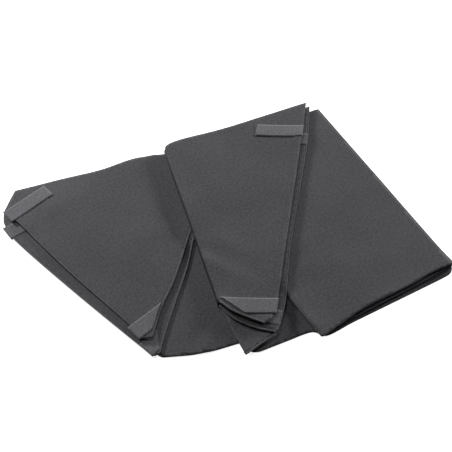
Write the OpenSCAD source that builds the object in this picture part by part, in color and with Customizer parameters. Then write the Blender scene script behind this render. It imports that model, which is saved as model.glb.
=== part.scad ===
// Caravan wheel cover set: two folded fabric covers, the right one lying on the left one.
// Millimetres. Z is up, the table is z = 0, and X runs along the longest side.
// Every sheet is a thin slab at its own height, so each folded layer is a separate piece.

/* [Fabric] */
// Thickness of one layer of coated fabric
fabric_t = 0.8; // [0.6:0.1:1]
// Thickness of a turned-over hem
hem_t = 2.0; // [1.6:0.1:2.2]
// Width of the hem along the end of a flap
end_hem_w = 12; // [8:1:16]
// Width of the hem along the side of a flap
side_hem_w = 8; // [6:1:12]

/* [Straps] */
// Width of the hook-and-loop tape
strap_w = 30; // [25:1:32]
// Length of a strap tail from the hem edge to its free end
strap_l = 87; // [70:1:95]
// Thickness of a strap tail
strap_t = 1.2; // [1:0.1:1.4]
// Thickness of the tape wrapped round a hem
wrap_t = 0.5; // [0.4:0.05:0.55]
// Thickness of the soft loop patch under a tail
patch_t = 0.8; // [0.6:0.1:1]

/* [Stack] */
// Tilt of the upper cover, which leans from the table up onto the lower cover
tilt = 2.125; // [2.1:0.005:2.2]

/* [Hidden] */

// Shift that puts the middle of the overall box on the origin.
SHIFT = [0.86, -2.09, 0];

// Sheet and trim colours.
cloth = [0.075, 0.075, 0.082];
hemc = [0.095, 0.095, 0.1];
tape = [0.14, 0.14, 0.145];

// Heights of the layers above each cover's own underside.
L_BACK = 1.6;   // back half of the folded body
L_FLAP2 = 4.6;  // left flap, back layer
L_FLAP1 = 9.4;  // left flap, front layer
R_PAN1 = 3.4;   // right panel, inner layer
R_PAN2 = 5.2;   // right panel, outer layer
R_FLAP2 = 8.4;  // right flap, back layer
R_FLAP1 = 13.6; // right flap, front layer

// Corner points of the right cover, seen from above.
RE = [183, 279];
RF = [380, -99];
ru = (RF - RE) / norm(RF - RE);
rn = [-ru[1], ru[0]];
// Line of the flap's fold, from the far end to the near end.
RHA = [-98, 150];
RHD = [-1, -188];
// Outer edges of the right flap: front layer, then back layer.
R1_END = [[160, 284], [146, 190], [123, 44], [102, -87], [86, -181], [71, -229]];
R1_SIDE = [[56, -226.7], [40, -218], [14, -204], [0.5, -194]];
R1_CORNER = [60, -219.4];
R1_TOP = [[-97.5, 154], [-70, 178], [25, 218]];
R2_END = [[168, 274], [158, 195], [140, 83], [115, -57], [100, -177], [84, -242]];
R2_SIDE = [[70, -238.7], [45, -228], [16, -212], [2, -198]];
R2_CORNER = [73, -231.1];
R2_TOP = [[-97, 152], [-68, 172], [25, 212]];

// Outer edges of the left flap: front layer, then back layer.
L1_END = [[-379, 12], [-354, -8], [-255, -113], [-143, -222], [-124, -246]];
L1_SIDE = [[-107, -247], [-96, -187], [-79, -136], [-63, -70], [-59, -44]];
L2_END = [[-378, -10], [-350, -49], [-243, -138], [-128, -245], [-101, -271]];
L2_SIDE = [[-92.2, -257], [-89, -237], [-74, -172], [-57, -103], [-48, -42], [-38, 30]];
L2_CORNER = [-100.3, -255.7];
// Hidden fold of the left flap, under the right cover.
LHA = [-80, 156];
LHD = [-30, 58];

// Points moved w sideways from the edge p, to the right of its direction of travel.
function inset(p, w) = [
  for (i = [0 : len(p) - 1])
    let (a = p[max(i - 1, 0)], b = p[min(i + 1, len(p) - 1)], u = (b - a) / norm(b - a))
    p[i] + w * [u[1], -u[0]]
];
// The points of p without its first a and its last b.
function cut(p, a, b) = [for (i = [a : len(p) - 1 - b]) p[i]];

function back(p) = [for (i = [len(p) - 1 : -1 : 0]) p[i]];

// A flat sheet with the outline p and its underside at z.
module sheet(p, z, t = fabric_t) {
  translate([0, 0, z])
    linear_extrude(t)
      polygon(p);
}

// A thicker band along the inside of the edge p, centred on the sheet at height z.
module hem(p, w, z) {
  translate([0, 0, z + fabric_t / 2 - hem_t / 2])
    linear_extrude(hem_t)
      polygon(concat(p, back(inset(p, w))));
}

// A half-round fold along p to q, from underside z to top z + h, bulging to the left of p to q.
module fold(p, q, z, h) {
  d = q - p;
  r = h / 2;
  translate([p[0], p[1], z + r])
    rotate([0, 0, atan2(d[1], d[0])])
      rotate([90, 0, 90])
        linear_extrude(norm(d))
          difference() {
            circle(r = r, $fn = 48);
            circle(r = r - fabric_t, $fn = 48);
            translate([-2 * r, -r - 1])
              square([2 * r, h + 2]);
          }
}

// Tape folded round a hem: p is the middle of the hem's edge and a points into the flap.
module wrap(p, a, z) {
  lo = z + fabric_t / 2 - hem_t / 2 - 0.2 - wrap_t;
  hi = z + fabric_t / 2 + hem_t / 2 + 0.2 + wrap_t;
  translate([p[0], p[1], 0])
    rotate([0, 0, a])
      rotate([90, 0, 0])
        linear_extrude(strap_w, center = true)
          polygon([
            [end_hem_w + 1, lo],
            [-2.6, lo],
            [-3.2, lo + 0.6],
            [-3.2, hi - 0.6],
            [-2.6, hi],
            [end_hem_w + 1, hi],
            [end_hem_w + 1, hi - wrap_t],
            [-2.6, hi - wrap_t],
            [-2.6, lo + wrap_t],
            [end_hem_w + 1, lo + wrap_t]
          ]);
}

// Tape lying on a flap, from x0 to x1 inward from the hem's edge.
module tail(p, a, z, x0, x1, t = strap_t, w = strap_w) {
  translate([p[0], p[1], z])
    rotate([0, 0, a])
      translate([x0, -w / 2, 0])
        cube([x1 - x0, w, t]);
}

// The upper cover leans from the table at its right fold up onto the lower cover.
module tilted() {
  translate([RF[0], RF[1], 0])
    rotate(a = tilt, v = [-ru[0], -ru[1], 0])
      translate([-RF[0], -RF[1], 0])
        children();
}

// Heights of what lies on the front layers.
L_TAIL = L_FLAP1 + fabric_t / 2 + hem_t / 2 + 0.9;
R_TAIL = R_FLAP1 + fabric_t / 2 + hem_t / 2 + 0.9;

// ---- Left cover ----

module left_body_front() {
  color(cloth)
    sheet([[-90, -263], [-30, -257], [20, -243], [57, -233], LHD, LHA,
           [-107, 152], [-232, 105], [-362, 59], [-369, 8], [-343, -43],
           [-240, -131], [-126, -237]], 0);
}

module left_body_back() {
  color(cloth)
    sheet([[-92, -266], [-30, -260], [20, -246], [60, -236], LHD, LHA,
           [-107, 154], [-231, 107], [-365, 62], [-372, 9], [-345, -46],
           [-241, -134], [-126, -240]], L_BACK);
}

module left_flap_front_fold() {
  color(cloth)
    fold(LHA, LHD, 0, L_FLAP1 + fabric_t);
}

module left_flap_back_fold() {
  color(cloth)
    fold(LHA, LHD, L_BACK, L_FLAP2 + fabric_t - L_BACK);
}

module left_flap_back() {
  color(cloth)
    sheet(concat([[-379, 12], [-368, 64], [-230, 107], [-133, 149], [-107, 152], LHA, LHD],
                 back(cut(inset(L2_SIDE, -side_hem_w), 1, 0)), [L2_CORNER],
                 back(cut(inset(L2_END, -end_hem_w), 0, 1))), L_FLAP2);
}

module left_flap_back_end_hem() {
  color(hemc)
    hem(L2_END, -end_hem_w, L_FLAP2);
}

module left_flap_back_side_hem() {
  color(hemc)
    hem(L2_SIDE, -side_hem_w, L_FLAP2);
}

module left_flap_front_held() {
  color(cloth)
    sheet([[-113, 152], LHA, LHD, [-36, 50], [-54, -27], [-58, -42]], L_FLAP1);
}

module left_flap_front() {
  color(cloth)
    sheet(concat([[-379, 12], [-368, 66], [-230, 109], [-133, 151], [-114, 152], [-60, -36]],
                 back(inset(L1_SIDE, -side_hem_w)), back(inset(L1_END, -end_hem_w))), L_FLAP1);
}

module left_flap_front_end_hem() {
  color(hemc)
    hem(L1_END, -end_hem_w, L_FLAP1);
}

module left_flap_front_side_hem() {
  color(hemc)
    hem(L1_SIDE, -side_hem_w, L_FLAP1);
}

module left_upper_strap_tail() {
  color(tape)
    tail([-367, 2], 44.5, L_TAIL, 14, strap_l);
}

module left_upper_strap_wrap() {
  color(tape)
    wrap([-367, 2], 41, L_FLAP1);
}

module left_upper_loop_patch() {
  color(tape)
    tail([-367, 2], 44.5, L_FLAP1 + fabric_t, 20, strap_l - 10, patch_t, strap_w - 4);
}

module left_lower_strap_tail() {
  color(tape)
    sheet([[-136, -215], [-115, -238], [-103, -232], [-95, -180]], L_TAIL, strap_t);
}

module left_lower_strap_wrap() {
  color(tape)
    wrap([-136, -231], 42, L_FLAP1);
}

module left_lower_loop_patch() {
  color(tape)
    sheet([[-124, -213], [-117, -221], [-112, -219], [-108, -198]],
          L_FLAP1 + fabric_t, patch_t);
}

module left_back_upper_strap_wrap() {
  color(tape)
    wrap([-364, -30], 38, L_FLAP2);
}

module left_back_upper_strap_tail() {
  color(tape)
    tail([-364, -30], 38, L_FLAP2 + 2.3, 14, strap_l, fabric_t);
}

module left_back_lower_strap_wrap() {
  color(tape)
    wrap([-114, -258], 47, L_FLAP2);
}

module left_back_lower_strap_tail() {
  color(tape)
    sheet([[-115, -238], [-97, -255], [-91, -225]], L_FLAP2 + 2.3, fabric_t);
}

// ---- Right cover ----

// Right edge of its body and panel, where the panel's fold begins.
RE1 = RE - 3 * rn;
RF1 = RF - 3 * rn;

module right_body_front() {
  color(cloth)
    tilted()
      sheet([RHA, RE1, RF1, [358, -122], [141, -229], [103, -242], [75, -254],
             [40, -279], [35, -281], RHD], 0);
}

module right_body_back() {
  color(cloth)
    tilted()
      sheet([RHA, RE1, RF1, [355, -116], [141, -220], [80, -247], [36, -282], RHD], L_BACK);
}

module right_panel_inner() {
  color(cloth)
    tilted()
      sheet([[-82, 158], RE1, RF1, [153, -240], [108, -163]], R_PAN1);
}

module right_panel_outer() {
  color(cloth)
    tilted()
      sheet([[-84, 160], RE1, RF1, [152, -245], [105, -166]], R_PAN2);
}

module right_panel_outer_fold() {
  color(cloth)
    tilted()
      fold(RE1, RF1, 0, R_PAN2 + fabric_t);
}

module right_panel_inner_fold() {
  color(cloth)
    tilted()
      fold(RE1, RF1, L_BACK, R_PAN1 + fabric_t - L_BACK);
}

module right_flap_front_fold() {
  color(cloth)
    tilted()
      fold(RHD, RHA, 0, R_FLAP1 + fabric_t);
}

module right_flap_back_fold() {
  color(cloth)
    tilted()
      fold(RHD, RHA, L_BACK, R_FLAP2 + fabric_t - L_BACK);
}

module right_flap_back() {
  color(cloth)
    tilted()
      sheet(concat(R2_TOP, cut(inset(R2_END, end_hem_w), 0, 1), [R2_CORNER],
                   cut(inset(R2_SIDE, side_hem_w), 1, 0)), R_FLAP2);
}

module right_flap_back_end_hem() {
  color(hemc)
    tilted()
      hem(R2_END, end_hem_w, R_FLAP2);
}

module right_flap_back_side_hem() {
  color(hemc)
    tilted()
      hem(R2_SIDE, side_hem_w, R_FLAP2);
}

module right_flap_front() {
  color(cloth)
    tilted()
      sheet(concat(R1_TOP, cut(inset(R1_END, end_hem_w), 0, 1), [R1_CORNER],
                   cut(inset(R1_SIDE, side_hem_w), 1, 0)), R_FLAP1);
}

module right_flap_front_end_hem() {
  color(hemc)
    tilted()
      hem(R1_END, end_hem_w, R_FLAP1);
}

module right_flap_front_side_hem() {
  color(hemc)
    tilted()
      hem(R1_SIDE, side_hem_w, R_FLAP1);
}

module right_upper_strap_tail() {
  color(tape)
    tilted()
      tail([148, 204], 178, R_TAIL, 14, strap_l);
}

module right_upper_strap_wrap() {
  color(tape)
    tilted()
      wrap([148, 204], 171.5, R_FLAP1);
}

module right_upper_loop_patch() {
  color(tape)
    tilted()
      tail([148, 204], 178, R_FLAP1 + fabric_t, 20, strap_l - 10, patch_t, strap_w - 4);
}

module right_lower_strap_tail() {
  color(tape)
    tilted()
      sheet([[73, -181], [-7, -180], [45, -211], [64, -211]], R_TAIL, strap_t);
}

module right_lower_strap_wrap() {
  color(tape)
    tilted()
      wrap([82, -195], 165, R_FLAP1);
}

module right_lower_loop_patch() {
  color(tape)
    tilted()
      sheet([[62, -184], [14, -184], [46, -205], [58, -205]], R_FLAP1 + fabric_t, patch_t);
}

module right_back_upper_strap_wrap() {
  color(tape)
    tilted()
      wrap([157.5, 190], 172, R_FLAP2);
}

module right_back_upper_strap_tail() {
  color(tape)
    tilted()
      tail([157.5, 190], 172, R_FLAP2 + 2.3, 14, strap_l, fabric_t);
}

module right_back_lower_strap_wrap() {
  color(tape)
    tilted()
      wrap([92, -209], 165.7, R_FLAP2);
}

module right_back_lower_strap_tail() {
  color(tape)
    tilted()
      tail([92, -209], 165.7, R_FLAP2 + 2.3, 14, 72, fabric_t);
}

translate(SHIFT) {
  left_body_front();
  left_body_back();
  left_flap_front_fold();
  left_flap_back_fold();
  left_flap_back();
  left_flap_back_end_hem();
  left_flap_back_side_hem();
  left_flap_front_held();
  left_flap_front();
  left_flap_front_end_hem();
  left_flap_front_side_hem();
  left_upper_strap_tail();
  left_upper_strap_wrap();
  left_upper_loop_patch();
  left_lower_strap_tail();
  left_lower_strap_wrap();
  left_lower_loop_patch();
  left_back_upper_strap_wrap();
  left_back_upper_strap_tail();
  left_back_lower_strap_wrap();
  left_back_lower_strap_tail();
  right_body_front();
  right_body_back();
  right_panel_inner();
  right_panel_outer();
  right_panel_outer_fold();
  right_panel_inner_fold();
  right_flap_front_fold();
  right_flap_back_fold();
  right_flap_back();
  right_flap_back_end_hem();
  right_flap_back_side_hem();
  right_flap_front();
  right_flap_front_end_hem();
  right_flap_front_side_hem();
  right_upper_strap_tail();
  right_upper_strap_wrap();
  right_upper_loop_patch();
  right_lower_strap_tail();
  right_lower_strap_wrap();
  right_lower_loop_patch();
  right_back_upper_strap_wrap();
  right_back_upper_strap_tail();
  right_back_lower_strap_wrap();
  right_back_lower_strap_tail();
}
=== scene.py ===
"""Two folded fabric wheel covers, the right one lying on the left one.

Plan positions are in millimetres on the table, X to the right and Y away from the viewer.
Each layer of cloth is laid over what is already there, from the table up. A ridge is given by
its two ends, its height at each and its half width.
"""
import math

import bpy
import numpy as np
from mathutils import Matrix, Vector
from mathutils.geometry import delaunay_2d_cdt


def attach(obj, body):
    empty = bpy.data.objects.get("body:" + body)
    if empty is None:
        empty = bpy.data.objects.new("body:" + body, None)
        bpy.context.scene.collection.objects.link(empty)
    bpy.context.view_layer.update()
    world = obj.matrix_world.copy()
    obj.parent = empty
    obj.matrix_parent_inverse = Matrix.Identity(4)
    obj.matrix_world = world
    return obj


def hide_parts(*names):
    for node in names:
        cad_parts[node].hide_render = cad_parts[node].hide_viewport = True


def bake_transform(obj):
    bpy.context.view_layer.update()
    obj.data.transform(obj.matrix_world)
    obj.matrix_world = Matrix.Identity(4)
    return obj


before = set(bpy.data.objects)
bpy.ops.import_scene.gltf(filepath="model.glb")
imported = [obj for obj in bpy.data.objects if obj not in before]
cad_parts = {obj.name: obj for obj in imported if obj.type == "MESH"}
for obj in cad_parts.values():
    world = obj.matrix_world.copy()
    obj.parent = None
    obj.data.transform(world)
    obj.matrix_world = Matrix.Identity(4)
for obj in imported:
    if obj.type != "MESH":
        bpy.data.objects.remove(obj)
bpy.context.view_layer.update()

SHIFT = np.array([0.86, -2.09])  # the design's own shift of its plan, in mm
CLOTH = 0.75  # thickness of one layer, in mm
STRAP_WIDTH = 30.0
END_HEM, SIDE_HEM = 12, 8  # widths of the turned-under bands
SEWN = 13.5  # how far in from the hem's edge a strap is sewn down
PATCH, PATCH_GAP = 0.8, 0.05  # a loop patch's thickness, and the air under it
FOLD_RINGS = 9  # rows of points round a fold
FOLD_GAP = 0.1  # keeps a fold just clear of the layers that it joins
STITCH_PITCH, STITCH = 4.2, 3.0  # spacing and length of stitches
CUT_ROWS = 6  # rows of a hem over which its slanted end fades
REST = 0.15  # air between two layers that lie on each other
WAVE = 314.16  # wave texture scale for one band per millimetre of plan

# ---------------------------------------------------------------- materials


def new_material(name):
    mat = bpy.data.materials.new(name)
    mat.use_nodes = True
    tree = mat.node_tree
    shader = next(n for n in tree.nodes if n.type == "BSDF_PRINCIPLED")
    return mat, tree, shader


def node(tree, kind, **settings):
    made = tree.nodes.new(kind)
    for key, value in settings.items():
        if key in made.inputs:
            made.inputs[key].default_value = value
        else:
            setattr(made, key, value)
    return made


def colour_between(tree, shader, source, low, high, dark, light):
    """Base colour from dark, where the source is at low, to light, where it is at high."""
    ramp = node(tree, "ShaderNodeMapRange")
    ramp.inputs["From Min"].default_value = low
    ramp.inputs["From Max"].default_value = high
    tree.links.new(source.outputs[0], ramp.inputs["Value"])
    mix = node(tree, "ShaderNodeMix", data_type="RGBA")
    mix.inputs[6].default_value = (*dark, 1)
    mix.inputs[7].default_value = (*light, 1)
    tree.links.new(ramp.outputs["Result"], mix.inputs[0])
    tree.links.new(mix.outputs[2], shader.inputs["Base Color"])


def cloth_material(name, dark, light, yarn=0.9, rough=0.78, sheen=0.1):
    """A plain weave of coated yarn: crossed yarns, uneven yarns and faint broad wear."""
    mat, tree, shader = new_material(name)
    link = tree.links.new
    uv = node(tree, "ShaderNodeTexCoord")
    yarns = []
    for direction in ("X", "Y"):
        wave = node(tree, "ShaderNodeTexWave", Scale=WAVE / yarn, Distortion=1.5, Detail=1.0)
        wave.bands_direction = direction
        wave.inputs["Detail Scale"].default_value = 2.0
        link(uv.outputs["UV"], wave.inputs["Vector"])
        yarns.append(wave)
    cross = node(tree, "ShaderNodeMath", operation="MAXIMUM")
    link(yarns[0].outputs["Fac"], cross.inputs[0])
    link(yarns[1].outputs["Fac"], cross.inputs[1])
    grain = node(tree, "ShaderNodeTexNoise", Scale=230.0, Detail=3.0, Roughness=0.8)
    link(uv.outputs["UV"], grain.inputs["Vector"])
    wear = node(tree, "ShaderNodeTexNoise", Scale=9.0, Detail=4.0, Roughness=0.6)
    link(uv.outputs["UV"], wear.inputs["Vector"])

    worn = node(tree, "ShaderNodeMath", operation="MULTIPLY_ADD")
    link(wear.outputs["Fac"], worn.inputs[0])
    worn.inputs[1].default_value = 0.34
    link(grain.outputs["Fac"], worn.inputs[2])
    total = node(tree, "ShaderNodeMath", operation="MULTIPLY_ADD")
    link(cross.outputs[0], total.inputs[0])
    total.inputs[1].default_value = 0.1
    link(worn.outputs[0], total.inputs[2])
    colour_between(tree, shader, total, 0.49, 0.99, dark, light)

    tall = node(tree, "ShaderNodeMath", operation="MULTIPLY_ADD")
    link(cross.outputs[0], tall.inputs[0])
    tall.inputs[1].default_value = 0.4
    link(grain.outputs["Fac"], tall.inputs[2])
    bumps = node(tree, "ShaderNodeBump", Strength=0.3, Distance=0.0005)
    link(tall.outputs[0], bumps.inputs["Height"])
    link(bumps.outputs["Normal"], shader.inputs["Normal"])
    rougher = node(tree, "ShaderNodeMapRange")
    rougher.inputs["To Min"].default_value = rough - 0.08
    rougher.inputs["To Max"].default_value = rough + 0.08
    link(wear.outputs["Fac"], rougher.inputs["Value"])
    link(rougher.outputs["Result"], shader.inputs["Roughness"])
    shader.inputs["Sheen Weight"].default_value = sheen
    shader.inputs["Sheen Roughness"].default_value = 0.5
    shader.inputs["Specular IOR Level"].default_value = 0.3
    return mat


def tape_material(name, dark, light, rib):
    """Hook-and-loop tape: rows of hooks across the tape and a fuzzy, speckled surface."""
    mat, tree, shader = new_material(name)
    link = tree.links.new
    uv = node(tree, "ShaderNodeTexCoord")
    rows = node(tree, "ShaderNodeTexWave", Scale=WAVE / rib, Distortion=2.5, Detail=2.0)
    rows.bands_direction = "X"
    rows.inputs["Detail Scale"].default_value = 3.0
    link(uv.outputs["UV"], rows.inputs["Vector"])
    fuzz = node(tree, "ShaderNodeTexNoise", Scale=260.0, Detail=4.0, Roughness=0.8)
    link(uv.outputs["UV"], fuzz.inputs["Vector"])
    both = node(tree, "ShaderNodeMath", operation="MULTIPLY_ADD")
    link(rows.outputs["Fac"], both.inputs[0])
    both.inputs[1].default_value = 0.2
    link(fuzz.outputs["Fac"], both.inputs[2])
    colour_between(tree, shader, both, 0.42, 0.82, dark, light)
    bumps = node(tree, "ShaderNodeBump", Strength=0.8, Distance=0.0006)
    link(both.outputs[0], bumps.inputs["Height"])
    link(bumps.outputs["Normal"], shader.inputs["Normal"])
    shader.inputs["Roughness"].default_value = 0.85
    shader.inputs["Sheen Weight"].default_value = 0.2
    shader.inputs["Specular IOR Level"].default_value = 0.25
    return mat


FABRIC = cloth_material("charcoal_cover_fabric", (0.014, 0.0138, 0.0158), (0.067, 0.0665, 0.0755))
# The hem fabric is the cover fabric made lighter: a painted highlight where the rolled edges catch the light.
HEM_HIGHLIGHT = cloth_material("charcoal_hem_painted_highlight", (0.018, 0.0177, 0.0196), (0.076, 0.0750, 0.0815), sheen=0.15)
HOOK = tape_material("hook_tape", (0.046, 0.0453, 0.0508), (0.130, 0.1285, 0.1410), rib=1.8)
LOOP = tape_material("loop_tape", (0.020, 0.0197, 0.0218), (0.060, 0.0592, 0.0645), rib=3.5)
# Near-black underside of the sheets and hem bands: painted shade, so that the gaps under the cloth read dark.
UNDERSIDE_SHADE = cloth_material(
    "painted_shade_underside", (0.004, 0.0039, 0.0043), (0.013, 0.0128, 0.0140), rough=0.6, sheen=0.0
)
THREAD = cloth_material("sewing_thread", (0.030, 0.0297, 0.0325), (0.060, 0.0592, 0.0640), yarn=0.5)

# ---------------------------------------------------------------- the stack of cloth

CELL = 2.5
SAG = 0.04  # how far a bridging sheet sinks in each round
GX = np.arange(-404.0, 404.1, CELL)
GY = np.arange(-304.0, 304.1, CELL)
X, Y = np.meshgrid(GX, GY)
top = np.zeros(X.shape)  # height of whatever is uppermost, in mm


def blur(a, size):
    fy = np.fft.fftfreq(a.shape[0], CELL)[:, None]
    fx = np.fft.rfftfreq(a.shape[1], CELL)[None, :]
    soft = np.exp(-2 * (math.pi * size) ** 2 * (fy**2 + fx**2))
    return np.fft.irfft2(np.fft.rfft2(a) * soft, a.shape)


def inside(outline, px=X, py=Y):
    """True where a point lies in the closed outline."""
    odd = np.zeros(np.shape(px), bool)
    x0, y0 = outline[-1]
    for x1, y1 in outline:
        if y0 != y1:
            crosses = (y1 > py) != (y0 > py)
            odd ^= crosses & (px < (x0 - x1) * (py - y1) / (y0 - y1) + x1)
        x0, y0 = x1, y1
    return odd


def segment_distance(a, b, px=X, py=Y):
    """Distance to the segment a-b, and how far along it the nearest point is, from 0 to 1."""
    a, b = np.array(a, float), np.array(b, float)
    d = b - a
    t = np.clip(((px - a[0]) * d[0] + (py - a[1]) * d[1]) / (d @ d), 0, 1)
    return np.hypot(px - a[0] - t * d[0], py - a[1] - t * d[1]), t


def path_distance(path, px=X, py=Y):
    out = None
    for a, b in zip(path[:-1], path[1:]):
        d = segment_distance(a, b, px, py)[0]
        out = d if out is None else np.minimum(out, d)
    return out


def ridges(rows):
    """Soft ridges and hollows: (x0, y0, x1, y1, height at one end, at the other, half width)."""
    out = np.zeros(X.shape)
    for x0, y0, x1, y1, h0, h1, w in rows:
        d, t = segment_distance((x0, y0), (x1, y1))
        out += (h0 + (h1 - h0) * t) * np.exp(-0.5 * (d / w) ** 2)
    return out


def ripples(seed, height, size):
    """Gentle unevenness of cloth that has been lying folded."""
    noise = np.random.default_rng(seed).standard_normal(X.shape)
    soft = blur(noise, size)
    return height * soft / np.abs(soft).max()


def lay(outline, lift, shape, stiff=13.0, rounds=10):
    """Lay a sheet over the stack. lift is held clear below it; shape is added where it lies free.

    stiff is the width in mm that the sheet bridges, and rounds is how often it settles.
    Returns the height of its underside and raises the stack."""
    global top
    mask = inside(outline)
    w = mask.astype(float)
    spread = np.maximum(blur(w, stiff), 1e-4)
    floor = top + REST + lift
    height = floor
    for _ in range(rounds):
        height = np.maximum(floor, blur(height * w, stiff) / spread - SAG)
    height = np.maximum(height + shape, top + REST)
    small = np.maximum(blur(w, 5.0), 1e-4)
    height = blur(height * w, 5.0) / small
    height = np.maximum(height, top + 0.1) * w + (1 - w) * height
    near = np.maximum(blur(w, 3.0), 1e-5)
    field = np.where(mask, height, blur(height * w, 3.0) / near)
    top = np.where(mask, np.maximum(top, field + CLOTH), top)
    return field


def sample(field, p):
    """Height of a field at plan points."""
    p = np.atleast_2d(p)
    fx = np.clip((p[:, 0] - GX[0]) / CELL, 0, len(GX) - 1.001)
    fy = np.clip((p[:, 1] - GY[0]) / CELL, 0, len(GY) - 1.001)
    ix, iy = fx.astype(int), fy.astype(int)
    tx, ty = fx - ix, fy - iy
    return (
        field[iy, ix] * (1 - tx) * (1 - ty)
        + field[iy, ix + 1] * tx * (1 - ty)
        + field[iy + 1, ix] * (1 - tx) * ty
        + field[iy + 1, ix + 1] * tx * ty
    )


# ---------------------------------------------------------------- outlines


def flow(points, step=4.0):
    """A smooth curve through the points, with an even spacing."""
    p = np.array(points, float)
    if len(p) > 2:
        q = np.vstack([2 * p[0] - p[1], p, 2 * p[-1] - p[-2]])
        out = []
        for i in range(1, len(q) - 2):
            for t in np.linspace(0, 1, 12, endpoint=False):
                a, b, c, d = q[i - 1 : i + 3]
                square, cube = 2 * a - 5 * b + 4 * c - d, 3 * b - a - 3 * c + d
                out.append(0.5 * (2 * b + (c - a) * t + square * t**2 + cube * t**3))
        p = np.array(out + [q[-2]])
    length = np.concatenate([[0], np.cumsum(np.hypot(*np.diff(p, axis=0).T))])
    n = max(2, int(round(length[-1] / step)) + 1)
    s = np.linspace(0, length[-1], n)
    return np.column_stack([np.interp(s, length, p[:, 0]), np.interp(s, length, p[:, 1])])


def join(*edges):
    """One closed outline from edges that meet end to end, with slightly softened corners."""
    rows = np.vstack([flow(e)[:-1] for e in edges])
    keep = np.hypot(*(rows - np.roll(rows, 1, axis=0)).T) > 0.8
    rows = rows[keep]
    return 0.5 * rows + 0.25 * np.roll(rows, 1, axis=0) + 0.25 * np.roll(rows, -1, axis=0)


def normals(path):
    """Unit vectors to the left of the path's direction of travel."""
    d = np.gradient(path, axis=0)
    d /= np.maximum(np.hypot(*d.T), 1e-9)[:, None]
    return np.column_stack([-d[:, 1], d[:, 0]])


# ---------------------------------------------------------------- meshes


def make(name, verts, faces, uvs, mat, body):
    """A mesh piece from millimetre points, riding on a body."""
    verts = np.array(verts, float)
    verts[:, :2] += SHIFT
    mesh = bpy.data.meshes.new(name)
    mesh.from_pydata([tuple(v) for v in verts / 1000.0], [], [tuple(int(i) for i in f) for f in faces])
    layer = mesh.uv_layers.new(name="plan")
    uvs = np.array(uvs, float) / 1000.0
    for loop in mesh.loops:
        layer.data[loop.index].uv = uvs[loop.vertex_index]
    mesh.polygons.foreach_set("use_smooth", [True] * len(mesh.polygons))
    mesh.materials.append(mat)
    obj = bpy.data.objects.new(name, mesh)
    bpy.context.scene.collection.objects.link(obj)
    if body:
        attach(obj, body)
    return obj


def thicken(obj, thickness, shade_under=True):
    """Give a surface its thickness on the outer side; unless told otherwise its underside gets the near-black
    material, painted shade.
    """
    solid = obj.modifiers.new("cloth thickness", "SOLIDIFY")
    solid.thickness = thickness / 1000.0
    solid.offset = 1.0
    solid.use_quality_normals = True
    if shade_under:
        obj.data.materials.append(UNDERSIDE_SHADE)
        solid.material_offset = 1
    return obj


def triangles(outline, step):
    """Points and upward triangles that fill a closed outline."""
    lo, hi = outline.min(axis=0), outline.max(axis=0)
    rows = []
    for j, y in enumerate(np.arange(lo[1], hi[1], step * 0.866)):
        xs = np.arange(lo[0] + (j % 2) * step / 2, hi[0], step)
        rows.append(np.column_stack([xs, np.full(len(xs), y)]))
    pts = np.vstack(rows)
    pts = pts[inside(outline, pts[:, 0], pts[:, 1])]
    closed = np.vstack([outline, outline[:1]])
    pts = pts[path_distance(closed, pts[:, 0], pts[:, 1]) > step * 0.45]
    every = np.vstack([outline, pts])
    n = len(outline)
    edges = [(i, (i + 1) % n) for i in range(n)]
    out = delaunay_2d_cdt([Vector(p) for p in every], edges, [], 1, 1e-4)
    pts = np.array([tuple(v) for v in out[0]])
    faces = []
    for f in out[2]:
        a, b, c = (pts[i] for i in f[:3])
        area = (b[0] - a[0]) * (c[1] - a[1]) - (b[1] - a[1]) * (c[0] - a[0])
        faces.append(list(f) if area > 0 else list(f)[::-1])
    return pts, faces


def turn_uv(p, grain):
    c, s = math.cos(math.radians(grain)), math.sin(math.radians(grain))
    p = np.asarray(p)[:, :2]
    return np.column_stack([p[:, 0] * c + p[:, 1] * s, -p[:, 0] * s + p[:, 1] * c])


def cloth(name, outline, field, body, grain, step=6.0):
    """One sheet of cloth at the heights in field; grain is the way its yarns run, in degrees."""
    pts, faces = triangles(outline, step)
    z = sample(field, pts)
    obj = make(f"{name}_cloth", np.column_stack([pts, z]), faces, turn_uv(pts, grain), FABRIC, body)
    return thicken(obj, CLOTH)


def sweep(name, path, section, heights, mat, body):
    """A strip whose closed section (distance to the left of the path, height) follows the path."""
    side = normals(path)
    n, m = len(path), len(section)
    verts, uvs, faces = [], [], []
    along = np.concatenate([[0], np.cumsum(np.hypot(*np.diff(path, axis=0).T))])
    around = np.concatenate([[0], np.cumsum(np.hypot(*np.diff(np.array(section), axis=0).T))])
    for i in range(n):
        for k, (s, z) in enumerate(section):
            p = path[i] + side[i] * s
            verts.append((p[0], p[1], heights[i] + z))
            uvs.append((around[k], along[i]))
    for i in range(n - 1):
        for k in range(m):
            a, b = i * m + k, i * m + (k + 1) % m
            faces.append((a, b, b + m, a + m))
    faces.append(list(range(m))[::-1])
    faces.append([(n - 1) * m + k for k in range(m)])
    return make(name, verts, faces, uvs, mat, body)


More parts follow.
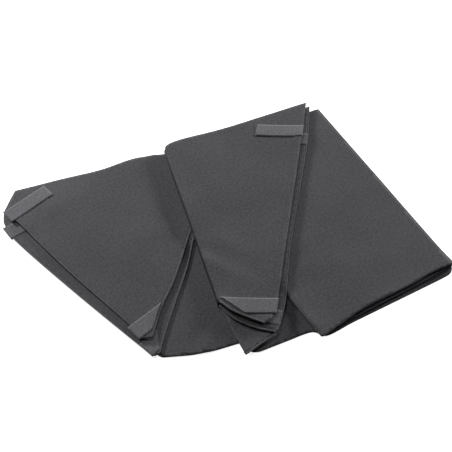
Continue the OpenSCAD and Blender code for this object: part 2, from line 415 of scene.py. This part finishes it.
def hem(name, path, field, width, body, left, cut=0.0):
    """A turned-over edge: a soft roll along the path with a flat band folded under the sheet.

    cut slants the band's first end, in mm along the path for each mm into the sheet."""
    line = flow(path)
    w = width
    section = [(w, -0.15), (w, -1.15), (w * 0.6, -1.3), (2.6, -1.5), (1.2, -1.4), (0.1, -1.0)]
    if w < END_HEM:  # a side hem stands up as a light rim, and an end hem lies lower
        section += [(-0.6, -0.3), (-0.75, 0.4), (-0.4, 1.1), (0.4, 1.5), (1.2, 1.35), (2.2, 0.85)]
        painted_shade_below = -0.5
    else:
        section += [(-0.6, -0.3), (-0.65, 0.3), (-0.2, 0.75), (0.6, 0.95), (1.5, 0.92), (2.2, 0.8)]
        # An end hem's outer face also gets the near-black underside material: painted shade for the dark gap
        # beside its edge.
        painted_shade_below = 0.15
    section += [(2.8, 0.6), (2.8, -0.1)]
    if not left:
        section = [(-s, z) for s, z in section][::-1]
    side = normals(line) * (1 if left else -1)
    z = sample(field, line + side * 1.5)
    for _ in range(2):
        z[1:-1] = 0.5 * z[1:-1] + 0.25 * (z[:-2] + z[2:])
    # The band is in the lighter hem fabric: a painted highlight on the roll.
    band = sweep(f"{name}_band", line, section, z, HEM_HIGHLIGHT, body)
    if cut:
        run = (line[1] - line[0]) / np.hypot(*(line[1] - line[0]))
        for i in range(CUT_ROWS):
            for k, (inward, _) in enumerate(section):
                slide = run * cut * abs(inward) * (1 - i / CUT_ROWS) / 1000.0
                band.data.vertices[i * len(section) + k].co.xy += Vector(slide)
    # Faces low on the hem's section get the near-black underside material: painted shade.
    band.data.materials.append(UNDERSIDE_SHADE)
    m = len(section)
    for i in range((len(line) - 1) * m):
        k = i % m
        if (section[k][1] + section[(k + 1) % m][1]) / 2 < painted_shade_below:
            band.data.polygons[i].material_index = 1
    return band


def stitches(name, path, field, inset, body, left):
    """A row of short raised stitches on top of a sheet, beside its edge."""
    line = flow(path, STITCH_PITCH)
    side = normals(line) * (1 if left else -1)
    line = (line + side * inset)[1:-1]
    z = sample(field, line) + CLOTH
    run = np.gradient(line, axis=0)
    run /= np.maximum(np.hypot(*run.T), 1e-9)[:, None]
    verts, faces, uvs = [], [], []
    for p, d, h in zip(line, run, z):
        q = np.array([-d[1], d[0]])
        base = len(verts)
        for s, w, up in ((-0.5, 0.12, -0.05), (-0.25, 0.3, 0.28), (0.25, 0.3, 0.28), (0.5, 0.12, -0.05)):
            c = p + d * s * STITCH
            verts += [(*(c + q * w), h - 0.1), (*c, h + up), (*(c - q * w), h - 0.1)]
            uvs += [(s * STITCH, w), (s * STITCH, 0), (s * STITCH, -w)]
        for k in range(3):
            a = base + 3 * k
            faces += [(a, a + 3, a + 4, a + 1), (a + 1, a + 4, a + 5, a + 2)]
    return make(name, verts, faces, uvs, THREAD, body)


def fold(name, path, low, high, body, bulge=1.0):
    """A rounded fold from the sheet at height low to the one at height high.

    It bulges to the left of the path."""
    line = flow(path)
    out = normals(line)
    verts, uvs, faces = [], [], []
    zl, zh = sample(low, line) + CLOTH, sample(high, line)
    zh = np.maximum(zh, zl + 0.4)
    r = (zh - zl) / 2
    along = np.concatenate([[0], np.cumsum(np.hypot(*np.diff(line, axis=0).T))])
    n = len(line)
    for k in range(FOLD_RINGS):
        a = math.pi * k / (FOLD_RINGS - 1)
        for i in range(n):
            p = line[i] + out[i] * (r[i] * math.sin(a) * bulge + FOLD_GAP)
            verts.append((p[0], p[1], (zh[i] + zl[i]) / 2 + r[i] * math.cos(a)))
            uvs.append((along[i], a * r[i]))
    for k in range(FOLD_RINGS - 1):
        for i in range(n - 1):
            a = k * n + i
            faces.append((a + n, a + n + 1, a + 1, a))
    obj = make(f"{name}_cloth", verts, faces, uvs, FABRIC, body)
    return thicken(obj, CLOTH)


def tape(name, outline, field, body, grain):
    """A flat patch of loop tape, sewn on a sheet."""
    corners = np.array(outline, float)
    sides = zip(corners, np.roll(corners, -1, axis=0))
    rows = np.vstack([flow(side, 3.0)[:-1] for side in sides])
    rows = 0.7 * rows + 0.15 * np.roll(rows, 1, axis=0) + 0.15 * np.roll(rows, -1, axis=0)
    pts, faces = triangles(rows, 4.0)
    z = sample(field, pts) + CLOTH + PATCH_GAP
    obj = make(f"{name}_tape", np.column_stack([pts, z]), faces, turn_uv(pts, grain), LOOP, body)
    return thicken(obj, PATCH)


def strap(name, middle, hem_angle, lie, reach, field, body, free=None):
    """Tape sewn round a hem: from under it, round its edge and back over the sheet.

    hem_angle points from the hem's edge into the sheet, and lie is the way the free end lies, in
    degrees. reach is how far the free end goes at its two edges. free marks a loose strap, which stands
    higher, curls at its end and rides on no body; a strap without one is pinned flat under another layer."""
    over, curl, thick = (1.0, 0.6, 1.1) if free else (0.35, 0.0, 0.7)
    into = np.array([math.cos(math.radians(hem_angle)), math.sin(math.radians(hem_angle))])
    along = np.array([math.cos(math.radians(lie)), math.sin(math.radians(lie))])
    across = np.array([-into[1], into[0]])
    edge = across * (STRAP_WIDTH / 2) / math.cos(math.radians(lie - hem_angle))
    hi, lo = CLOTH + over, -1.65
    round_edge = [  # inward from the hem's edge, and height, from under the hem to over it
        (13, lo + 0.2), (8, lo), (2, lo - 0.05), (-0.4, lo), (-1.5, lo * 0.75), (-1.85, -0.4),
        (-1.7, hi * 0.45), (-0.9, hi * 0.85), (0.4, hi), (2, hi + 0.1), (5, hi), (8.5, hi), (SEWN, hi),
    ]
    columns = np.linspace(-1, 1, 11)
    verts, uvs, faces = [], [], []
    rows = [(s, 0.0, z) for s, z in round_edge] + [(SEWN, t, hi) for t in np.linspace(0, 1, 19)[1:]]
    run = 0.0
    for k, (s, t, z) in enumerate(rows):
        if k:
            s0, t0, z0 = rows[k - 1]
            run += math.hypot(s - s0, z - z0) + (t - t0) * (max(reach) - SEWN)
        for c in columns:
            far = reach[0] + (reach[1] - reach[0]) * (c + 1) / 2
            reached = s + (far - SEWN) * t
            p = np.array(middle) + edge * c + along * reached
            under = p if reached > 3 else np.array(middle) + edge * c + along * 3
            verts.append((*p, sample(field, under)[0] + z + curl * t**2))
            uvs.append((run, c * STRAP_WIDTH / 2))
    n = len(columns)
    for k in range(len(rows) - 1):
        for i in range(n - 1):
            b = k * n + i
            faces.append((b, b + 1, b + n + 1, b + n))
    obj = make(f"{name}_strap_tape", verts, faces, uvs, HOOK, None if free else body)
    thicken(obj, thick, shade_under=False)
    if free:
        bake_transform(obj)
    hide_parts(f"{name}_strap_tail", f"{name}_strap_wrap")
    return obj


def box_tape(middle, angle, x0, x1, width):
    """Corners of a straight piece of tape, from x0 to x1 inside the hem's edge."""
    a = math.radians(angle)
    into = np.array([math.cos(a), math.sin(a)])
    across = np.array([-into[1], into[0]]) * width / 2
    m = np.array(middle, float)
    return [m + into * x0 - across, m + into * x1 - across, m + into * x1 + across, m + into * x0 + across]


# ---------------------------------------------------------------- left cover (underneath)

# The layers from the table up are the body's front and back, then L2 and L1, the flap's back and
# front layer. H marks the flap's fold line.
LHA, LHD = (-80, 156), (-30, 58)
L_TOP = [(-368, 66), (-300, 89), (-230, 114), (-180, 137), (-133, 156), (-107, 160)]
L1_END = [(-379, 15), (-354, -5), (-255, -109), (-143, -218), (-126, -240)]
L1_SIDE = [(-107, -243), (-96, -187), (-79, -136), (-63, -70), (-54, -27), (-36, 48)]
L2_END = [(-377, -4), (-350, -45), (-243, -147), (-128, -251), (-101, -272)]
L2_SIDE = [(-94, -268), (-89, -237), (-74, -172), (-57, -103), (-48, -42), (-32, 54)]

left_front = join(
    [(-90, -270), (-30, -264), (20, -248), (57, -234)], [(57, -234), LHD], [LHD, LHA],
    [LHA, (-107, 152), (-232, 105), (-362, 60)], [(-362, 60), (-371, 8), (-345, -42)],
    [(-345, -42), (-240, -138), (-126, -244), (-90, -270)],
)
left_back = join(
    [(-91, -273), (-30, -266), (20, -250), (60, -236)], [(60, -236), LHD], [LHD, LHA],
    [LHA, (-107, 154), (-231, 108), (-365, 63)], [(-365, 63), (-373, 9), (-347, -45)],
    [(-347, -45), (-241, -141), (-126, -247), (-91, -273)],
)
left_flap2 = join(
    L2_END, [L2_END[-1], L2_SIDE[0]], L2_SIDE, [L2_SIDE[-1], LHD], [LHD, LHA], [LHA, L_TOP[-1]],
    [(x, y - 1.5) for x, y in L_TOP[::-1]], [(-368, 64), (-379, 20), L2_END[0]],
)
left_flap1 = join(
    L1_END, [L1_END[-1], (-116, -245), L1_SIDE[0]], L1_SIDE, [L1_SIDE[-1], LHD], [LHD, LHA], [LHA, L_TOP[-1]],
    L_TOP[::-1], [L_TOP[0], L1_END[0]],
)


def hem_lift(path, width, height):
    """Room under a sheet for the band turned under along its edge."""
    d = path_distance([tuple(p) for p in flow(path, 12.0)])
    return height * np.clip((width + 8 - d) / 8, 0, 1)


def tape_lift(middle, angle, x1, height):
    """Room under a sheet for a strap that lies below it."""
    a, b, c, d = box_tape(middle, angle, 0, x1, STRAP_WIDTH)
    dist = segment_distance((a + d) / 2, (b + c) / 2)[0]
    return height * np.clip((STRAP_WIDTH / 2 + 10 - dist) / 10, 0, 1)


LF = lay(left_front, 0.0, 0.0)
LB = lay(
    left_back,
    0.7,
    ripples(3, 0.5, 30) + ridges([(-31, -258, -8, -215, 2.2, 0.6, 7), (-40, -255, -20, -205, -0.8, 0, 6)]),
)
near_left_fold = segment_distance(LHA, LHD)[0]
L2 = lay(
    left_flap2,
    1.0 + hem_lift(L2_END, END_HEM, 1.0) + hem_lift(L2_SIDE, SIDE_HEM, 0.8)
    + 0.4 * np.exp(-near_left_fold / 30),
    ripples(4, 0.6, 28),
)
L1 = lay(
    left_flap1,
    0.7 + hem_lift(L1_END, END_HEM, 1.4) + hem_lift(L1_SIDE, SIDE_HEM, 2.6)
    + tape_lift((-364, -30), 38, 80, 1.6) + tape_lift((-114, -258), 47, 30, 1.2),
    ripples(5, 0.9, 34)
    + ridges([
        (-270, 30, -190, -60, 6.0, 5.0, 46),  # the flap's crown
        (-168, 150, -110, -20, 3.0, 2.5, 24),
        (-116, 150, -60, -30, -8.0, -6.0, 17),  # the hollow beside the upper cover
    ]),
)

left_body_front = cloth("left_body_front", left_front, LF, "left_cover", grain=20)
left_body_back = cloth("left_body_back", left_back, LB, "left_cover", grain=20)
left_flap_back = cloth("left_flap_back", left_flap2, L2, "left_cover", grain=44)
left_flap_front = cloth("left_flap_front", left_flap1, L1, None, grain=44, step=5.0)
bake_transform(left_flap_front)

# ---------------------------------------------------------------- right cover (on top)

# The layers from the bottom up are R4 and R3, the body's front and back, P1 and P2, the folded
# panel's inner and outer layer, and R2 and R1, the flap's back and front layer.
RE, RF = (184, 281), (381, -98)
RHA, RHD, RK = (-105, 157), (-4, -181), (36, -271)
R1_TOP = [(-107, 161), (-97, 173), (-68, 189), (25, 229), (95, 261), (161, 288.5)]
R1_END = [(161, 288.5), (147, 196), (123, 44), (102, -87), (88, -173), (76, -214)]
R1_SIDE = [(67, -221), (42, -209), (14, -196), (-4, -181)]
R2_TOP = [(-105, 158), (-94, 169), (-66, 184), (25, 225), (95, 257), (168, 284)]
R2_END = [(168, 284), (159, 195), (140, 83), (115, -57), (101, -172), (86, -232)]
R2_SIDE = [(84, -235), (46, -221), (16, -205), (-4, -184)]

right_front = join(
    [RHA, (30, 206), (110, 243), RE], [RE, RF], [RF, (376, -112), (356, -125)],
    [(356, -125), (266, -175), (208, -207), (163, -233), (141, -226), (99, -244), (58, -263)],
    [(58, -263), (45, -264)], [(45, -264), (5, -180)], [(5, -180), (-25, -110), RHA],
)
right_back = join(
    [RHA, (30, 206), (110, 243), RE], [RE, RF], [RF, (357, -117)],
    [(357, -117), (266, -165), (200, -170), (120, -140), (104, -130)],
    [(104, -130), (84, -235)], [(84, -235), RK], [RK, RHD], [RHD, RHA],
)
right_pan1 = join(
    [(-82, 158), (50, 216), RE], [RE, RF], [RF, (340, -124), (266, -168), (172, -222)],
    [(172, -222), (122, -150)], [(122, -150), (-82, 158)],
)
right_pan2 = join(
    [(-84, 160), (50, 218), RE], [RE, RF],
    [RF, (340, -118), (310, -138), (266, -163), (224, -187), (193, -210), (154, -242)],
    [(154, -242), (128, -200), (103, -156)], [(103, -156), (-84, 160)],
)
right_flap2 = join(R2_TOP, R2_END, [R2_END[-1], R2_SIDE[0]], R2_SIDE, [R2_SIDE[-1], RHD], [RHD, RHA])
right_flap1 = join(R1_TOP, R1_END, [R1_END[-1], (72, -219), R1_SIDE[0]], R1_SIDE, [RHD, RHA])

near_panel_fold = segment_distance(RE, RF)[0]
near_flap_fold = segment_distance(RHA, RHD)[0]
near_panel_front = path_distance([(154, -239), (224, -187), (310, -138), (372, -106)])
panel_side = [(100, -150, 142, -218, 5.0, 9.5, 14)]
R4 = lay(right_front, 0.0, ripples(11, 0.5, 40), stiff=20, rounds=14)
R3 = lay(
    right_back,
    0.5 + 0.8 * np.exp(-near_panel_fold / 40) + 0.8 * np.exp(-near_flap_fold / 40),
    ripples(12, 0.5, 32) + ridges([(36, -271, 84, -235, 3.0, 7.0, 12), (-4, -181, 36, -271, 3.5, 1.0, 9)]),
)
P1 = lay(
    right_pan1,
    0.5 + 0.8 * np.exp(-near_panel_fold / 30) + 1.2 * np.exp(-near_panel_front / 25),
    ripples(13, 0.5, 32),
)
P2 = lay(
    right_pan2,
    0.7 + 0.8 * np.exp(-near_panel_fold / 30) + 4.0 * np.exp(-near_panel_front / 22) + ridges(panel_side),
    ripples(14, 0.8, 36)
    + ridges([
        (110, -120, 190, -60, 1.0, 0.3, 9),
        (120, -150, 215, -100, -0.9, 0, 9),
        (112, -60, 170, -30, 0.8, 0, 9),
    ]),
)
R2 = lay(
    right_flap2,
    2.0 + hem_lift(R2_END, END_HEM, 2.2) + hem_lift(R2_SIDE, SIDE_HEM, 1.0)
    + 2.6 * np.exp(-near_flap_fold / 30),
    ripples(15, 0.7, 30),
)
R1 = lay(
    right_flap1,
    3.2 + hem_lift(R1_END, END_HEM, 2.4) + hem_lift(R1_SIDE, SIDE_HEM, 1.6)
    + 2.4 * np.exp(-near_flap_fold / 30)
    + tape_lift((157.5, 190), 172, 84, 1.6) + tape_lift((92, -209), 165.7, 70, 1.6),
    ripples(16, 0.9, 34)
    + ridges([
        (-22, -95, 40, -140, 2.2, 0.6, 7),
        (-30, -70, 55, -120, -1.6, -0.4, 8),
        (0, -50, 60, -85, 1.2, 0.3, 8),
    ]),
)

right_body_front = cloth("right_body_front", right_front, R4, "right_cover", grain=62)
right_body_back = cloth("right_body_back", right_back, R3, "right_cover", grain=62)
right_panel_inner = cloth("right_panel_inner", right_pan1, P1, "right_cover", grain=62)
right_panel_outer = cloth("right_panel_outer", right_pan2, P2, "right_cover", grain=62, step=5.0)
right_flap_back = cloth("right_flap_back", right_flap2, R2, "right_flap", grain=8)
right_flap_front = cloth("right_flap_front", right_flap1, R1, "right_upper_layer", grain=8, step=5.0)

outer_fold = fold("right_panel_outer_fold", [RE, RF], R4, P2, "right_cover")
inner_fold = fold("right_panel_inner_fold", [RE, RF], R3, P1, "right_cover", bulge=0.6)
front_fold = fold("right_flap_front_fold", [RHD, RHA], R4, R1, None, bulge=0.35)
back_fold = fold("right_flap_back_fold", [RHD, RHA], R3, R2, None, bulge=0.2)
for piece in (front_fold, back_fold):
    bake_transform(piece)
lower_fold = fold("left_flap_front_fold", [LHA, LHD], LF, L1, "left_cover")
lower_inner = fold("left_flap_back_fold", [LHA, LHD], LB, L2, "left_cover", bulge=0.8)

# ---------------------------------------------------------------- hems, stitches

# name: edge, sheet, width, body, sheet to the left of the edge's direction, slant of its first end
HEMS = {
    "left_flap_back_end_hem": (L2_END, L2, END_HEM, "left_cover", True, 0.0),
    "left_flap_back_side_hem": (L2_SIDE, L2, SIDE_HEM, "left_cover", True, 0.0),
    "left_flap_front_end_hem": (L1_END, L1, END_HEM, "left_upper_layer", True, 0.0),
    "left_flap_front_side_hem": (L1_SIDE[:4], L1, SIDE_HEM, "left_upper_layer", True, 0.0),
    "left_flap_front_held_hem": (L1_SIDE[3:], L1, SIDE_HEM, "left_cover", True, 0.0),
    "right_flap_back_end_hem": (R2_END, R2, END_HEM, "right_flap", False, 0.6),
    "right_flap_back_side_hem": (R2_SIDE, R2, SIDE_HEM, "right_flap", False, 0.0),
    "right_flap_front_end_hem": (R1_END, R1, END_HEM, "right_upper_layer", False, 0.6),
    "right_flap_front_side_hem": (R1_SIDE, R1, SIDE_HEM, "right_upper_layer", False, 0.0),
}
hem("right_body_back_edge", [(84, -236), (60, -253), (37, -271)], R3, 6, "right_cover", left=False)
for name, (path, field, width, body, left, cut) in HEMS.items():
    band = hem(name, path, field, width, body, left, cut)
    stitches(name.replace("hem", "stitching"), path, field, width - 1.5, body, left)
    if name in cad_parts:
        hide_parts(name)

# ---------------------------------------------------------------- straps


# name: hem point, hem angle, lie, reach, sheet, body, body of the free end, corners of the loop patch
STRAPS = {
    "left_upper": ((-369, 4), 41, 44.5, (86, 86), L1, "left_upper_layer", "left_upper_strap",
                   box_tape((-369, 4), 44.5, 15, 83, 26)),
    "left_lower": ((-135, -233), 42, 43, (22, 66), L1, "left_upper_layer", "left_lower_strap",
                   [(-136, -214), (-114, -234), (-106, -226), (-100, -186)]),
    "right_upper": ((149, 209), 171.5, 177.5, (86, 86), R1, "right_upper_layer", "right_upper_strap",
                    box_tape((149, 206.5), 177.5, 15, 88.5, 29)),
    "right_lower": ((86, -187), 170, 180, (93, 46), R1, "right_upper_layer", "right_lower_strap",
                    [(71, -175), (10, -175), (44, -197), (68, -197)]),
}
for name, (middle, hem_angle, lie, reach, field, body, free, patch) in STRAPS.items():
    strap(name, middle, hem_angle, lie, reach, field, body, free)
    piece = tape(f"{name}_loop_patch", patch, field, body, grain=lie)
    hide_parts(f"{name}_loop_patch")

BACK_STRAPS = {
    "left_back_upper": ((-365, -30), 38, (86, 86), L2, "left_cover"),
    "left_back_lower": ((-115, -261), 47, (15, 36), L2, "left_cover"),
    "right_back_upper": ((157.5, 193), 172, (86, 86), R2, "right_flap"),
    "right_back_lower": ((92, -206), 165.7, (72, 60), R2, "right_flap"),
}
for name, (middle, angle, reach, field, body) in BACK_STRAPS.items():
    strap(name, middle, angle, angle, reach, field, body)

# each layer, its outline, what it rests on and the nodes that it stands for
LAYERS = [
    (left_body_front, left_front, "left_body_back", ["left_body_front"]),
    (left_body_back, left_back, left_body_front, ["left_body_back"]),
    (left_flap_back, left_flap2, left_body_back, ["left_flap_back"]),
    (left_flap_front, left_flap1, left_flap_back, ["left_flap_front", "left_flap_front_held"]),
    (right_body_front, right_front, left_flap_front, ["right_body_front"]),
    (right_body_back, right_back, right_body_front, ["right_body_back"]),
    (right_panel_inner, right_pan1, right_body_back, ["right_panel_inner"]),
    (right_panel_outer, right_pan2, right_panel_inner, ["right_panel_outer"]),
    (right_flap_back, right_flap2, right_panel_outer, ["right_flap_back"]),
    (right_flap_front, right_flap1, right_flap_back, ["right_flap_front"]),
]
FOLDS = {
    "left_flap_front_fold": lower_fold,
    "left_flap_back_fold": lower_inner,
    "right_panel_outer_fold": outer_fold,
    "right_panel_inner_fold": inner_fold,
    "right_flap_front_fold": front_fold,
    "right_flap_back_fold": back_fold,
}
for piece, _, _, nodes in LAYERS:
    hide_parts(*nodes)
for name, piece in FOLDS.items():
    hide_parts(name)

# ---------------------------------------------------------------- floor, light, camera

TABLE, TABLE_TOP = 12.0, -0.0004  # half its width, and its height just under the cloth, in metres
floor_mat, _, shader = new_material("white_table")
shader.inputs["Base Color"].default_value = (0.9, 0.9, 0.9, 1)
shader.inputs["Roughness"].default_value = 0.7
shader.inputs["Specular IOR Level"].default_value = 0.2
shader.inputs["Emission Color"].default_value = (1, 1, 1, 1)
shader.inputs["Emission Strength"].default_value = 0.85
floor_mesh = bpy.data.meshes.new("table_top")
corners = [(x * TABLE, y * TABLE, TABLE_TOP) for x, y in ((-1, -1), (1, -1), (1, 1), (-1, 1))]
floor_mesh.from_pydata(corners, [], [(0, 1, 2, 3)])
floor_mesh.materials.append(floor_mat)
floor = bpy.data.objects.new("table_top", floor_mesh)
bpy.context.scene.collection.objects.link(floor)


def area_light(name, place, aim, size, watts):
    data = bpy.data.lights.new(name, "AREA")
    data.shape = "RECTANGLE"
    data.size, data.size_y = size
    data.energy = watts
    lamp = bpy.data.objects.new(name, data)
    bpy.context.scene.collection.objects.link(lamp)
    lamp.location = place
    lamp.rotation_euler = (Vector(aim) - Vector(place)).to_track_quat("-Z", "Y").to_euler()


area_light("back_left", (-1.5, 1.2, 0.8), (-0.1, 0, 0), (0.4, 0.25), 45)
area_light("right_low", (1.6, 1.2, 0.6), (0.1, 0, 0), (0.9, 0.5), 45)
area_light("soft_top", (-0.5, 0.2, 1.8), (-0.1, 0, 0), (0.7, 0.7), 13)
world = bpy.data.worlds.new("studio")
world.use_nodes = True
background = world.node_tree.nodes["Background"]
background.inputs["Color"].default_value = (1, 1, 1, 1)
seen = node(world.node_tree, "ShaderNodeLightPath")
strength = node(world.node_tree, "ShaderNodeMath", operation="MULTIPLY_ADD")
strength.inputs[1].default_value = 0.9  # a pale backdrop, seen only by the camera
strength.inputs[2].default_value = 0.05
world.node_tree.links.new(seen.outputs["Is Camera Ray"], strength.inputs[0])
world.node_tree.links.new(strength.outputs[0], background.inputs["Strength"])
bpy.context.scene.world = world

bpy.context.scene.view_settings.view_transform = "Standard"

camera_data = bpy.data.cameras.new("photo_view")
camera_data.sensor_width = 36.0
camera_data.lens = 67.7
camera = bpy.data.objects.new("photo_view", camera_data)
bpy.context.scene.collection.objects.link(camera)
camera.location = ((6.56 + SHIFT[0]) / 1000, (-951.0 + SHIFT[1]) / 1000, 1.122)  # in metres
camera.rotation_euler = (math.radians(40.0), 0, 0)
bpy.context.scene.camera = camera
